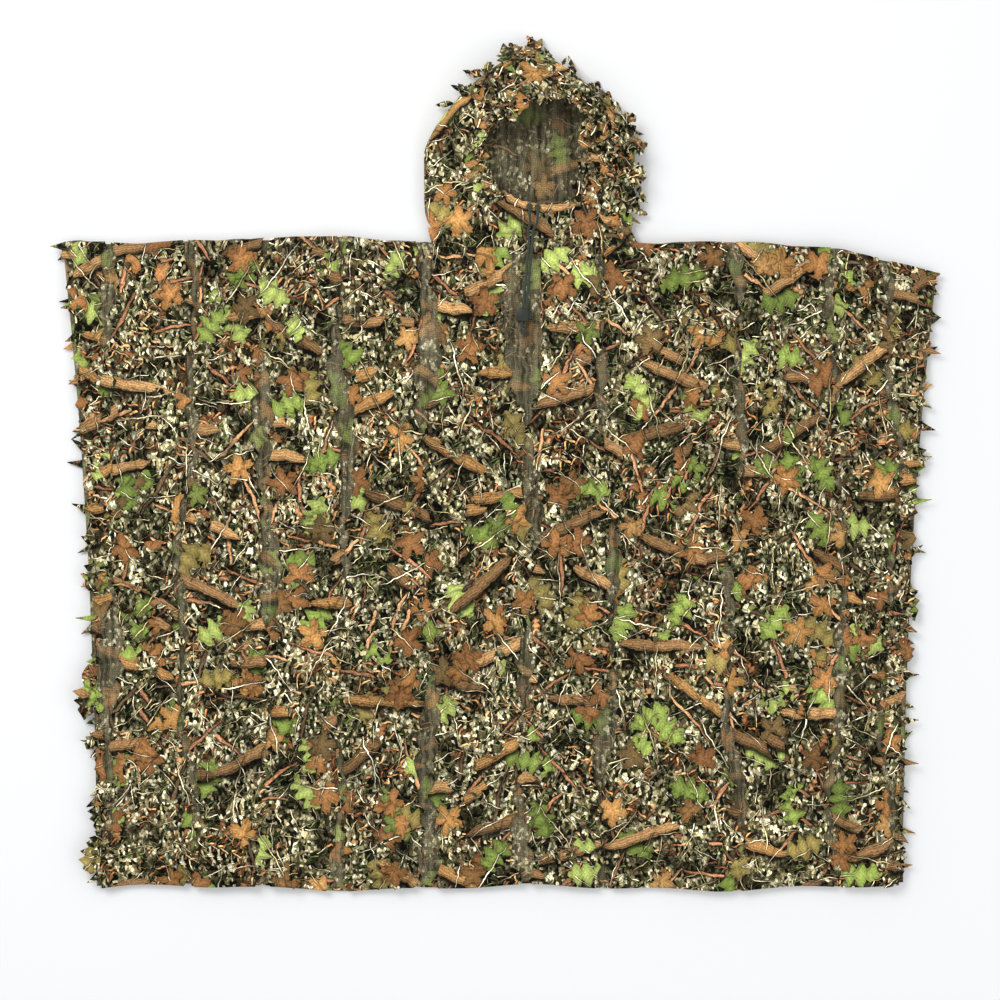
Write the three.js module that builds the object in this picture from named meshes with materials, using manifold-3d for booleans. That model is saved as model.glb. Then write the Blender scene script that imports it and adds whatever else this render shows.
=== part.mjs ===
// Hooded leaf-cut camouflage poncho, laid out flat on its back with the hood opening facing up.
// Millimetres, +Z up, +Y towards the hood. Left and right are as the front is looked at from above,
// so left is -X, the wearer's right hand.
import * as THREE from 'three';
import { mergeVertices } from 'three/addons/utils/BufferGeometryUtils.js';
import Module from 'manifold-3d';

const wasm = await Module();
wasm.setup();

// ---- overall cut ----
const overallWidth = 1340;        // at the shoulder fold, with a leaf tip at each side
const bodyLength = 970;           // hem to the shoulder fold
const hoodLength = 286;           // shoulder fold to the crown of the hood
const hemWidth = 1206;            // panel width at the hem
const sideTip = 15;               // how far the leaf tips stand past the panel's side edges
const hemMargin = 4;              // strips hang this far below the mesh panel

// ---- thicknesses and the room between layers ----
const clearance = 0.4;            // gap between two pieces that lie on each other
const jointGap = 0.6;             // gap across a fold line, between pieces of two bodies
const backStripThickness = 5;
const frontStripThickness = 8;
const panelThickness = 2;
const bodySpace = 10;             // room between the front and the back panel

// ---- leaf strips ----
const stripGap = 26;              // bare mesh between two strips
const toothPitch = 80;
const toothDepth = 10;
const toothPeak = 0.4;            // where on its pitch a leaf tip stands
const toothShift = 0.2;
const channelMargin = 5;
const foldX = 350;                // the side folds
// Seams between strips, as shares of the width inside a fold, and of the wing outside it.
const frontCenterSeams = { left: [0.67, 0.31], right: [0.457] };
const frontWingSeams = { left: [0.466, 0.929], right: [0.613, 0.929] };
const backCenterSeams = [0.2, 0.6];
const backWingSeams = [0.415, 0.83];

// ---- neck and shoulders ----
const shoulderTurn = 12;          // depth of the turned shoulder edge
const neckWidth = 270;
const neckBandWidth = 9;
const neckBandThickness = 3;

// ---- hood ----
const hoodWidth = 316;
const hoodCenterX = 44;
const hoodWidestRise = 132;       // from the shoulder fold to the hood's widest line
const hoodNeckGap = 10;           // from the shoulder fold to the first hood solid
const hoodWall = 3;
const hoodMidHeight = 16;         // height of the widest line of the hood
const hoodTurnUnder = 34;         // how far the hood's base draws in below that line
const crownRoundness = 1.4;       // exponent of the outline above its widest line, a pointed dome
const neckRoundness = 4.5;        // exponent below it, nearly square
const faceCenterX = 67;
const faceCenterRise = 131;
const faceHalfWidth = 97;
const faceHalfLength = 82;
const chinHeight = 28;
const crownHeight = 72;
const hoodPanelSplit = 48;        // half the width of the centre panel
const hoodSegments = 40;
const trimLift = 4;
const trimThickness = 5;

// ---- rim casing and drawcord ----
const casingWidth = 14;
const casingHeight = 12;
const casingWall = 2;
const cordDiameter = 4;
const cordSpacing = 5;            // centre to centre, where the lock holds them
const eyeletSpacing = 12;
const eyeletBore = 5.2;
const eyeletBarrel = 6.6;
const eyeletFlange = 10;
const eyeletFlangeThickness = 1;
const eyeletX = 50;
const bendRadius = 8;

// ---- cord lock ----
const lockX = 36;
const lockDrop = 110;             // from the shoulder fold down to the lock
const cordLean = 5 * Math.PI / 180;
const lockDepth = 18;
const lockHeight = 12;
const lockCorner = 4;
const lockWall = 1.5;
const plungerTravel = 3;
const plungerButton = 4.6;
const plungerClearance = 0.5;
const cavityDepthY = 11;
const cavityHeight = 7.6;
const springWire = 0.7;
const springRadius = 2.2;
const springTurns = 3;
const springRoom = 1.6;
const holeClearance = 0.4;
const knotRadius = 6;
const knotDrop = 24;

// ---- derived levels ----
const overallLength = bodyLength + hoodLength;
const hemY = -overallLength / 2;
const crownY = overallLength / 2;
const shoulderY = hemY + bodyLength;
const shoulderHalf = overallWidth / 2 - sideTip;
const hemHalf = hemWidth / 2;
const backPanelZ = backStripThickness + clearance;
const frontPanelZ = backPanelZ + panelThickness + bodySpace;
const frontStripZ = frontPanelZ + panelThickness + clearance;
const cordZ = frontStripZ + lockHeight / 2;
const panelTopY = shoulderY - shoulderTurn;
const hoodWidestY = shoulderY + hoodWidestRise;
const faceCenterY = shoulderY + faceCenterRise;
const lockY = shoulderY - lockDrop;
const wingWidth = Math.min(hemHalf, shoulderHalf) - foldX;
const hingeY = shoulderY - 2;
const hoodBottomY = shoulderY + hoodNeckGap;
const hoodHalfWidth = hoodWidth / 2;
const cordRadius = cordDiameter / 2;

// ---- derived sizes of the cord lock, across the cords; 0 is midway between them ----
const slotHalf = cordSpacing / 2 + cordRadius + holeClearance;
const slotHeight = cordRadius + holeClearance;
const plungerInner = -slotHalf - lockWall;
const cavityEnd = plungerInner - plungerTravel - springRoom;
const lockLow = cavityEnd - lockWall;
const lockHigh = slotHalf + lockWall;
const plungerHigh = slotHalf + plungerTravel + plungerButton;

// ---- materials ----
const leafPrint = new THREE.MeshStandardMaterial({ color: 0x796e53, roughness: 0.92, metalness: 0 });
const meshPrint = new THREE.MeshStandardMaterial({ color: 0x6a6850, roughness: 0.95, metalness: 0 });
const bindingCloth = new THREE.MeshStandardMaterial({ color: 0x4c4a34, roughness: 0.9, metalness: 0 });
const cordNylon = new THREE.MeshStandardMaterial({ color: 0x2f3a26, roughness: 0.75, metalness: 0 });
const lockPlastic = new THREE.MeshStandardMaterial({ color: 0x23251f, roughness: 0.5, metalness: 0 });
const eyeletBrass = new THREE.MeshStandardMaterial({ color: 0x3a3a34, roughness: 0.4, metalness: 1 });
const springSteel = new THREE.MeshStandardMaterial({ color: 0x9a9a98, roughness: 0.3, metalness: 1 });

const poncho = new THREE.Group();

function addPiece(name, geometry, material, parent = poncho) {
  const mesh = new THREE.Mesh(geometry, material);
  mesh.name = name;
  parent.add(mesh);
  return mesh;
}

// ---- small geometry makers ----

function outlineShape(points) {
  return new THREE.Shape(points.map(([x, y]) => new THREE.Vector2(x, y)));
}

function slab(points, z, thickness) {
  const geometry = new THREE.ExtrudeGeometry(outlineShape(points), { depth: thickness, bevelEnabled: false });
  return geometry.translate(0, 0, z);
}

function boxBetween(low, high) {
  const size = high.map((value, axis) => value - low[axis]);
  const geometry = new THREE.BoxGeometry(...size);
  return geometry.translate(...low.map((value, axis) => value + size[axis] / 2));
}

// A section drawn in the Y-Z plane and run along X.
function runAlongX(points, xLow, xHigh) {
  const options = { depth: xHigh - xLow, bevelEnabled: false };
  const geometry = new THREE.ExtrudeGeometry(outlineShape(points), options);
  const turn = new THREE.Matrix4().makeBasis(
    new THREE.Vector3(0, 1, 0), new THREE.Vector3(0, 0, 1), new THREE.Vector3(1, 0, 0));
  return geometry.applyMatrix4(turn).translate(xLow, 0, 0);
}

function roundTube(points, radius, sides, steps) {
  const section = new THREE.Shape();
  section.absarc(0, 0, radius, 0, 2 * Math.PI);
  const curve = new THREE.CatmullRomCurve3(points.map((point) => new THREE.Vector3(...point)));
  const ring = section.getPoints(sides).slice(0, sides);
  return new THREE.ExtrudeGeometry(new THREE.Shape(ring), { steps, extrudePath: curve, bevelEnabled: false });
}

// Rings of equal count joined into one skin; the ends are closed onto a middle point,
// or the last ring is joined to the first.
function skinRings(rings, joined) {
  const count = rings[0].length;
  const positions = rings.flat(2);
  const faces = [];
  const bands = joined ? rings.length : rings.length - 1;
  for (let ring = 0; ring < bands; ring += 1) {
    const next = (ring + 1) % rings.length;
    for (let i = 0; i < count; i += 1) {
      const j = (i + 1) % count;
      const a = ring * count + i;
      const b = ring * count + j;
      const c = next * count + j;
      const d = next * count + i;
      faces.push(a, b, c, a, c, d);
    }
  }
  if (!joined) {
    for (const [ring, forward] of [[0, false], [rings.length - 1, true]]) {
      const middle = [0, 1, 2].map((axis) => rings[ring].reduce((sum, p) => sum + p[axis], 0) / count);
      const pole = positions.length / 3;
      positions.push(...middle);
      for (let i = 0; i < count; i += 1) {
        const a = ring * count + i;
        const b = ring * count + (i + 1) % count;
        faces.push(...(forward ? [a, b, pole] : [b, a, pole]));
      }
    }
  }
  const geometry = new THREE.BufferGeometry();
  geometry.setAttribute('position', new THREE.Float32BufferAttribute(positions, 3));
  geometry.setIndex(faces);
  return outward(geometry);
}

// Turns a closed skin so that its faces point out, judged by its signed volume.
function outward(geometry) {
  const p = geometry.attributes.position;
  const index = geometry.index.array;
  const corner = (i) => new THREE.Vector3().fromBufferAttribute(p, index[i]);
  let volume = 0;
  for (let i = 0; i < index.length; i += 3) {
    volume += corner(i).dot(corner(i + 1).cross(corner(i + 2)));
  }
  if (volume < 0) {
    for (let i = 0; i < index.length; i += 3) {
      [index[i + 1], index[i + 2]] = [index[i + 2], index[i + 1]];
    }
  }
  return geometry;
}

// ---- boolean cutting ----

function toSolid(geometry) {
  const bare = geometry.clone();
  bare.deleteAttribute('normal');
  bare.deleteAttribute('uv');
  const merged = mergeVertices(bare, 1e-4);
  return new wasm.Manifold(new wasm.Mesh({
    numProp: 3,
    vertProperties: new Float32Array(merged.attributes.position.array),
    triVerts: new Uint32Array(merged.index.array),
  }));
}

function toGeometry(solid) {
  const mesh = solid.getMesh();
  const geometry = new THREE.BufferGeometry();
  geometry.setAttribute('position', new THREE.BufferAttribute(mesh.vertProperties, 3));
  geometry.setIndex(new THREE.BufferAttribute(mesh.triVerts, 1));
  return geometry;
}

function cut(geometry, ...tools) {
  return toGeometry(tools.reduce((solid, tool) => solid.subtract(toSolid(tool)), toSolid(geometry)));
}

function keep(geometry, region) {
  return toGeometry(toSolid(geometry).intersect(toSolid(region)));
}

// ---- body of the poncho: mesh panels, shoulder folds, neck bands ----

// Half the panel's width at a height y: it widens towards the shoulders.
function sideEdge(y) {
  const rise = (y - hemY) / bodyLength;
  return hemHalf + (shoulderHalf - hemHalf) * rise * rise;
}

const sideSteps = 6;

function panelOutline(side) {
  const low = hemY + hemMargin;
  const step = (panelTopY - clearance - low) / sideSteps;
  const levels = Array.from({ length: sideSteps + 1 }, (_, i) => low + i * step);
  if (side === 0) {
    const half = foldX - jointGap / 2;
    return [[-half, low], [half, low], [half, levels[sideSteps]], [-half, levels[sideSteps]]];
  }
  const fold = side * (foldX + jointGap / 2);
  const outer = levels.map((y) => [side * sideEdge(y), y]);
  const ring = [[fold, low], ...outer, [fold, levels[sideSteps]]];
  return side > 0 ? ring : ring.reverse();
}

const bodyParts = [['center', 0], ['left', -1], ['right', 1]];
for (const [part, side] of bodyParts) {
  addPiece(`back_panel_${part}`, slab(panelOutline(side), backPanelZ, panelThickness), meshPrint);
  addPiece(`front_panel_${part}`, slab(panelOutline(side), frontPanelZ, panelThickness), meshPrint);
}

// The shoulder edge is a turned C of cloth that joins the front panel to the back panel.
function shoulderSection() {
  const outer = (frontPanelZ + panelThickness - backPanelZ) / 2;
  const middleZ = backPanelZ + outer;
  const points = [];
  const turns = 8;
  for (const [radius, order] of [[outer, 1], [outer - panelThickness, -1]]) {
    const reach = shoulderTurn - (outer - radius);
    for (let i = 0; i <= turns; i += 1) {
      const angle = -order * Math.PI / 2 + order * Math.PI * i / turns;
      points.push([panelTopY + reach * Math.cos(angle), middleZ + radius * Math.sin(angle)]);
    }
  }
  return points;
}

const neckLow = hoodCenterX - neckWidth / 2;
const neckHigh = hoodCenterX + neckWidth / 2;
const fold = jointGap / 2;
const shoulderRuns = [
  ['shoulder_fold_left_wing', -shoulderHalf + sideTip, -foldX - fold],
  ['shoulder_fold_left', -foldX + fold, neckLow - clearance],
  ['shoulder_fold_right', neckHigh + clearance, foldX - fold],
  ['shoulder_fold_right_wing', foldX + fold, shoulderHalf - sideTip],
];
for (const [name, low, high] of shoulderRuns) {
  addPiece(name, runAlongX(shoulderSection(), low, high), bindingCloth);
}
for (const [name, z] of [['neck_band_front', frontPanelZ], ['neck_band_back', backPanelZ]]) {
  const low = [neckLow, panelTopY, z];
  addPiece(name, boxBetween(low, [neckHigh, panelTopY + neckBandWidth, z + neckBandThickness]), bindingCloth);
}

// ---- leaf-cut strips ----

// One side of a strip, from its low end to its high end, with a leaf tip in every pitch.
function toothedEdge(edge, outwards, low, high, depth, shift) {
  const teeth = Math.round((high - low) / toothPitch);
  const step = (high - low) / teeth;
  const points = [];
  for (let i = 0; i < teeth; i += 1) {
    const y = low + i * step;
    points.push([edge(y), y]);
    const tipY = y + (toothPeak + shift) * step;
    points.push([edge(tipY) + outwards * depth, tipY]);
  }
  points.push([edge(high), high]);
  return points;
}

// Leaf tips on the two sides of a strip are shifted against each other, but not on the panel's own edges.
function stripOutline(leftEdge, rightEdge, leftDepth, rightDepth) {
  const high = panelTopY - clearance;
  const right = toothedEdge(rightEdge, 1, hemY, high, rightDepth, 0);
  const left = toothedEdge(leftEdge, -1, hemY, high, leftDepth, leftDepth === sideTip ? 0 : toothShift);
  return [...right, ...left.reverse()];
}

// Strips between neighbouring seams; the first and last follow the panel's side edges.
function addStrips(prefix, seams, z, thickness, first) {
  seams.slice(1).forEach((seam, i) => {
    const before = seams[i];
    const isFirst = before === null;
    const isLast = seam === null;
    const left = (y) => (isFirst ? -sideEdge(y) : before + stripGap / 2);
    const right = (y) => (isLast ? sideEdge(y) : seam - stripGap / 2);
    const outline = stripOutline(left, right, isFirst ? sideTip : toothDepth, isLast ? sideTip : toothDepth);
    const number = String(first + i).padStart(2, '0');
    addPiece(`${prefix}_${number}`, slab(outline, z, thickness), leafPrint);
  });
}

function seamsOf(centerShares, wingShares) {
  const center = centerShares.map((share) => share * foldX);
  const wing = wingShares.map((share) => foldX + share * wingWidth);
  return [...center, foldX, ...wing];
}

function mirrored(seams) {
  return seams.map((seam) => -seam).reverse();
}

// The drawcord and its lock lie in a channel between two front strips, clear of their leaf tips.
const channelSpare = toothDepth + channelMargin - stripGap / 2;
const channelLeft = lockX + Math.min(lockLow, -knotRadius) - channelSpare;
const channelRight = Math.max(eyeletX + eyeletSpacing / 2, lockX + plungerHigh) + channelSpare;
const frontLeft = mirrored(seamsOf([...frontCenterSeams.left].reverse(), frontWingSeams.left));
const frontRight = seamsOf(frontCenterSeams.right, frontWingSeams.right);
const backRight = seamsOf(backCenterSeams, backWingSeams);
addStrips('front_leaf_strip', [null, ...frontLeft, channelLeft], frontStripZ, frontStripThickness, 1);
addStrips('front_leaf_strip', [channelRight, ...frontRight, null], frontStripZ, frontStripThickness,
  frontLeft.length + 2);
addStrips('back_leaf_strip', [null, ...mirrored(backRight), ...backRight, null], 0, backStripThickness, 1);

// ---- hood: a shallow bowl lying on its back ----

function roundedOutline(angle, inset) {
  const c = Math.cos(angle);
  const s = Math.sin(angle);
  const power = 2 / (s > 0 ? crownRoundness : neckRoundness);
  const length = (s > 0 ? crownY - hoodWidestY : hoodWidestY - hoodBottomY) - inset;
  const x = Math.sign(c) * Math.abs(c) ** power * (hoodHalfWidth - inset);
  const y = Math.sign(s) * Math.abs(s) ** power * length;
  return [hoodCenterX + x, hoodWidestY + y];
}

function faceOutline(angle, grow) {
  return [
    faceCenterX + (faceHalfWidth + grow) * Math.cos(angle),
    faceCenterY + (faceHalfLength + grow) * Math.sin(angle),
  ];
}

function rimHeight(angle) {
  return chinHeight + (crownHeight - chinHeight) * (1 + Math.sin(angle)) / 2;
}

// A point of the bowl: bend 0 is at the rim, 1 at the widest line, 2 at the turned-under base.
function bowlPoint(angle, bend, inset, grow) {
  const edge = roundedOutline(angle, inset);
  const rim = faceOutline(angle, grow);
  const swing = bend * Math.PI / 2;
  const reach = Math.sin(swing);
  if (bend <= 1) {
    const rise = (rimHeight(angle) - inset - hoodMidHeight) * Math.cos(swing);
    return [rim[0] + (edge[0] - rim[0]) * reach, rim[1] + (edge[1] - rim[1]) * reach, hoodMidHeight + rise];
  }
  const base = roundedOutline(angle, inset + hoodTurnUnder);
  const drop = (hoodMidHeight - inset) * (1 + Math.cos(swing));
  return [base[0] + (edge[0] - base[0]) * reach, base[1] + (edge[1] - base[1]) * reach, inset + drop];
}

const shellGrow = casingWidth / 2 + 1.5;
const hoodAngles = Array.from({ length: hoodSegments }, (_, i) => 2 * Math.PI * i / hoodSegments);
const outerBends = [0, 0.25, 0.5, 0.75, 1, 1.33, 1.66, 2];

function bowlRing(bend, inset) {
  return hoodAngles.map((angle) => bowlPoint(angle, bend, inset, shellGrow));
}

const hoodSkin = [
  ...[...outerBends].reverse().map((bend) => bowlRing(bend, 0)),
  ...outerBends.map((bend) => bowlRing(bend, hoodWall)),
];
const hoodShell = skinRings(hoodSkin, false);
const reach = overallLength;
const splitLow = hoodCenterX - hoodPanelSplit;
const splitHigh = hoodCenterX + hoodPanelSplit;
const hoodPanels = [
  ['hood_left_panel', -reach, splitLow - clearance / 2],
  ['hood_center_panel', splitLow + clearance / 2, splitHigh - clearance / 2],
  ['hood_right_panel', splitHigh + clearance / 2, reach],
];
for (const [name, low, high] of hoodPanels) {
  addPiece(name, keep(hoodShell, boxBetween([low, 0, -reach], [high, reach, reach])), meshPrint);
}

// Leaf-cut trims sewn on the hood's upper side, lying a little above the panels.
function hoodTrim(firstSegment, lastSegment) {
  const trimBends = outerBends.slice(1, 4);
  const rings = [];
  for (let segment = firstSegment; segment <= lastSegment; segment += 1) {
    const angle = 2 * Math.PI * segment / hoodSegments;
    const under = trimBends.map((bend) => bowlPoint(angle, bend, 0, shellGrow));
    const low = under.map(([x, y, z]) => [x, y, z + trimLift]);
    const high = under.map(([x, y, z]) => [x, y, z + trimLift + trimThickness]);
    rings.push([...low, ...high.reverse()]);
  }
  return skinRings(rings, false);
}

const trims = [['right', -0.14, 0.09], ['crown', 0.13, 0.36], ['left', 0.4, 0.62]];
for (const [name, low, high] of trims) {
  const segments = [low, high].map((share) => Math.round(share * hoodSegments));
  addPiece(`hood_leaf_trim_${name}`, hoodTrim(...segments), leafPrint);
}

// ---- rim casing with the drawcord in it ----

// A section given as (outwards, up) pairs, carried round the face opening.
function carryRound(section, angles, joined) {
  const rings = angles.map((angle) => {
    const middle = faceOutline(angle, 0);
    const ahead = faceOutline(angle + 0.01, 0);
    const along = new THREE.Vector2(ahead[0] - middle[0], ahead[1] - middle[1]).normalize();
    const height = rimHeight(angle);
    return section.map(([out, up]) => [middle[0] + along.y * out, middle[1] - along.x * out, height + up]);
  });
  return skinRings(rings, joined);
}

const halfCasing = casingWidth / 2;
const halfHeight = casingHeight / 2;
const inside = halfCasing - casingWall;
// The casing is a channel of turned cloth, open on its under side.
const casingSection = [
  [-halfCasing, -halfHeight], [-inside, -halfHeight], [-inside, halfHeight - casingWall],
  [inside, halfHeight - casingWall], [inside, -halfHeight], [halfCasing, -halfHeight],
  [halfCasing, halfHeight], [-halfCasing, halfHeight],
];
const casing = carryRound(casingSection, hoodAngles, true);

function faceAngleAt(x) {
  return -Math.acos((x - faceCenterX) / faceHalfWidth);
}

const cordSides = [['left', -1], ['right', 1]];
const eyelets = cordSides.map(([side, sign]) => {
  const x = eyeletX + sign * eyeletSpacing / 2;
  const angle = faceAngleAt(x);
  return { side, sign, x, y: faceOutline(angle, 0)[1], top: rimHeight(angle) + halfHeight, angle };
});
const eyeletHoles = eyelets.map(({ x, y, top }) => {
  const hole = new THREE.CylinderGeometry(eyeletBarrel / 2 + clearance, eyeletBarrel / 2 + clearance, 10, 20);
  return hole.rotateX(Math.PI / 2).translate(x, y, top);
});
addPiece('hood_rim_casing', cut(casing, ...eyeletHoles), bindingCloth);

for (const { side, x, y, top } of eyelets) {
  const bore = eyeletBore / 2;
  const profile = [
    [bore, -casingWall], [eyeletBarrel / 2, -casingWall], [eyeletBarrel / 2, clearance],
    [eyeletFlange / 2, clearance], [eyeletFlange / 2, clearance + eyeletFlangeThickness],
    [bore, clearance + eyeletFlangeThickness], [bore, -casingWall],
  ];
  const ring = new THREE.LatheGeometry(profile.map(([r, z]) => new THREE.Vector2(r, z)), 20);
  addPiece(`cord_eyelet_${side}`, ring.rotateX(Math.PI / 2).translate(x, y, top), eyeletBrass);
}

const cordSection = Array.from({ length: 8 }, (_, i) => {
  const angle = 2 * Math.PI * i / 8;
  return [cordRadius * Math.cos(angle), cordRadius * Math.sin(angle) - 1.5];
});
const cordStart = eyelets[1].angle + 0.03;
const cordEnd = eyelets[0].angle - 0.03 + 2 * Math.PI;
const cordAngles = Array.from({ length: 41 }, (_, i) => cordStart + (cordEnd - cordStart) * i / 40);
addPiece('hood_drawcord_in_casing', carryRound(cordSection, cordAngles, false), cordNylon);

// ---- free ends of the drawcord, from the eyelets over the throat to the lock ----

const lean = Math.tan(cordLean);
const leanX = (y) => lockX + (y - lockY) * lean;

for (const { side, sign, x, y, top } of eyelets) {
  const hingeX = leanX(hingeY) + sign * cordSpacing / 2;
  const bendX = x - sign * 0.2;
  const bendTop = top + eyeletFlangeThickness + clearance + bendRadius;
  const rise = [
    [hingeX, hingeY + 0.15, cordZ],
    [hingeX + sign * 0.3, hingeY + 8, cordZ + 0.6],
    [hingeX + sign * 1.2, hingeY + 18, cordZ + 4],
    [bendX - sign * 0.8, hingeY + 29, cordZ + 10],
    [bendX, y - bendRadius - 3, bendTop - 0.8],
    [bendX, y - bendRadius + 2, bendTop - 0.4],
    [x, y - 2.3, bendTop - 2.3],
    [x, y, bendTop - bendRadius],
    [x, y, top - casingWall],
  ];
  addPiece(`drawcord_rise_${side}`, roundTube(rise, cordRadius, 8, 14), cordNylon);
}

const strand = new THREE.Group();
strand.position.set(lockX, lockY, cordZ);
strand.rotation.z = -cordLean;
poncho.add(strand);
const strandLength = (hingeY - 0.15 - lockY) / Math.cos(cordLean);
for (const [side, sign] of cordSides) {
  const offset = sign * cordSpacing / 2;
  const knotTop = Math.sqrt(knotRadius ** 2 - (cordSpacing / 2 + cordRadius) ** 2) - knotDrop;
  const ends = [[offset, strandLength - 0.6, 0], [offset, strandLength / 2, 0], [offset, knotTop + 2.5, 0]];
  addPiece(`drawcord_run_${side}`, roundTube(ends, cordRadius, 8, 16), cordNylon, strand);
}
const knot = new THREE.SphereGeometry(knotRadius, 16, 10);
addPiece('drawcord_end_knot', knot.translate(0, -knotDrop, 0), cordNylon, strand);

// ---- cord lock: a sprung plunger in a moulded body, both with a slot for the two cords ----

function roundedRectangle(xLow, xHigh, yHalf, corner) {
  const shape = new THREE.Shape();
  const x = xHigh - corner;
  const y = yHalf - corner;
  shape.absarc(x, y, corner, 0, Math.PI / 2);
  shape.absarc(xLow + corner, y, corner, Math.PI / 2, Math.PI);
  shape.absarc(xLow + corner, -y, corner, Math.PI, 1.5 * Math.PI);
  shape.absarc(x, -y, corner, 1.5 * Math.PI, 2 * Math.PI);
  return shape;
}

const lockBlank = new THREE.ExtrudeGeometry(
  roundedRectangle(lockLow, lockHigh, lockDepth / 2, lockCorner),
  { depth: lockHeight, bevelEnabled: false, curveSegments: 5 }).translate(0, 0, -lockHeight / 2);
const cavity = boxBetween(
  [cavityEnd, -cavityDepthY / 2, -cavityHeight / 2], [lockHigh + 1, cavityDepthY / 2, cavityHeight / 2]);
const bodySlot = boxBetween([-slotHalf, -lockDepth, -slotHeight], [slotHalf, lockDepth, slotHeight]);
addPiece('cord_lock_body', cut(lockBlank, cavity, bodySlot), lockPlastic, strand);

const plungerY = cavityDepthY / 2 - plungerClearance;
const plungerZ = cavityHeight / 2 - plungerClearance;
const plungerBlank = boxBetween([plungerInner, -plungerY, -plungerZ], [plungerHigh, plungerY, plungerZ]);
const plungerSlot = boxBetween(
  [-slotHalf, -lockDepth, -slotHeight], [slotHalf + plungerTravel, lockDepth, slotHeight]);
addPiece('cord_lock_plunger', cut(plungerBlank, plungerSlot), lockPlastic, strand);

const springLow = cavityEnd + springWire;
const springHigh = plungerInner - springWire;
const springPoints = Array.from({ length: 8 * springTurns + 1 }, (_, i) => {
  const turn = i / 8;
  const angle = 2 * Math.PI * turn;
  const x = springLow + (springHigh - springLow) * turn / springTurns;
  return [x, springRadius * Math.cos(angle), springRadius * Math.sin(angle)];
});
const spring = roundTube(springPoints, springWire / 2, 6, 12 * springTurns);
addPiece('cord_lock_spring', spring, springSteel, strand);

export default poncho;
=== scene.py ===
import math
import random

import bpy
import numpy as np
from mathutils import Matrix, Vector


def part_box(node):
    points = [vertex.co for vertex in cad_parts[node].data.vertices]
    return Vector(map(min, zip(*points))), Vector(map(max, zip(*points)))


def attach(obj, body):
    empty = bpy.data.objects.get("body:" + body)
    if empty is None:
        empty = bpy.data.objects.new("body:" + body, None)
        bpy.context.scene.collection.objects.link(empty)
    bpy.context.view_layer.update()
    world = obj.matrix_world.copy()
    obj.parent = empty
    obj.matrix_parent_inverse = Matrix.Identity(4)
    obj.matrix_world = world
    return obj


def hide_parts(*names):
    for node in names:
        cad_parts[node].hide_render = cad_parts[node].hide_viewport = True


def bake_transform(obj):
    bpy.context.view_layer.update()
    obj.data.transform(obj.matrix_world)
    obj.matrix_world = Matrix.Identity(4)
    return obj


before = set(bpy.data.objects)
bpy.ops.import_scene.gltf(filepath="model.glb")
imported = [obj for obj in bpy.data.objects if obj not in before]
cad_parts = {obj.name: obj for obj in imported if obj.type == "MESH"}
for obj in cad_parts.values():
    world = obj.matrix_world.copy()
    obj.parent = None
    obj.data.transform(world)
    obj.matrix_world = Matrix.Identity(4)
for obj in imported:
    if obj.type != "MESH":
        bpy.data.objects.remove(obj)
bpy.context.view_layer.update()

# Studio: the poncho lies on a pale floor and is looked at from straight above. Daylight-soft
# light comes from a bright surround, one large lamp at the upper left and a weak one opposite.
MM = 0.001
view_width = 1.5
view_middle_y = -0.0435
camera_height = 4.2
sensor = 36.0
scene = bpy.context.scene
camera_data = bpy.data.cameras.new("studio_camera")
camera = bpy.data.objects.new("studio_camera", camera_data)
scene.collection.objects.link(camera)
camera_data.sensor_width = sensor
camera_data.lens = sensor * camera_height / view_width
camera_data.clip_end = 50
camera.location = (0, view_middle_y, camera_height)
scene.camera = camera
scene.view_settings.view_transform = "Standard"
scene.view_settings.look = "None"


def linear(code):
    """An sRGB hex colour as linear RGBA."""
    parts = [int(code[i:i + 2], 16) / 255 for i in (1, 3, 5)]
    return (*[p / 12.92 if p <= 0.04045 else ((p + 0.055) / 1.055) ** 2.4 for p in parts], 1.0)


surround = bpy.data.worlds.new("studio_surround")
surround.use_nodes = True
surround.node_tree.nodes["Background"].inputs["Color"].default_value = linear("#f4f6f8")
surround.node_tree.nodes["Background"].inputs["Strength"].default_value = 0.72
scene.world = surround
for lamp_name, place, size, power in [
    ("key_lamp", (-1.6, 1.8, 3.0), 1.8, 66),
    ("fill_lamp", (2.2, -1.6, 2.4), 2.0, 16),
]:
    lamp_data = bpy.data.lights.new(lamp_name, "AREA")
    lamp_data.size = size
    lamp_data.energy = power
    lamp = bpy.data.objects.new(lamp_name, lamp_data)
    lamp.location = place
    aim = -np.array(place)
    lamp.rotation_euler = (
        math.atan2(math.hypot(aim[0], aim[1]), -aim[2]), 0, math.atan2(aim[0], -aim[1]) + math.pi)
    scene.collection.objects.link(lamp)


def node(kind, *inputs, **settings):
    """Adds a node to the tree being built. A second word in kind is its operation. Inputs go in order,
    settings are inputs by name or the node's own properties."""
    name, _, operation = kind.partition(" ")
    made = tree.nodes.new("ShaderNode" + name)
    if operation:
        made.operation = operation
    if name == "Mix":
        made.data_type = "RGBA"
    if "stops" in settings:
        ramp = made.color_ramp
        for place, (at, code) in enumerate(settings.pop("stops")):
            stop = ramp.elements[place] if place < 2 else ramp.elements.new(at)
            stop.position = at
            stop.color = linear(code)
        ramp.interpolation = settings.pop("between", "LINEAR")
    places = {"Mix": (0, 6, 7)}.get(name, range(len(inputs)))
    wanted = [(made.inputs[place], value) for place, value in zip(places, inputs) if value is not None]
    for key, value in settings.items():
        if key.replace("_", " ") in made.inputs:
            wanted.append((made.inputs[key.replace("_", " ")], value))
        else:
            setattr(made, key, value)
    for socket, value in wanted:
        if isinstance(value, bpy.types.Node):
            value = next(s for s in value.outputs if s.enabled)
        if isinstance(value, bpy.types.NodeSocket):
            tree.links.new(value, socket)
        else:
            socket.default_value = value
    return made


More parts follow.
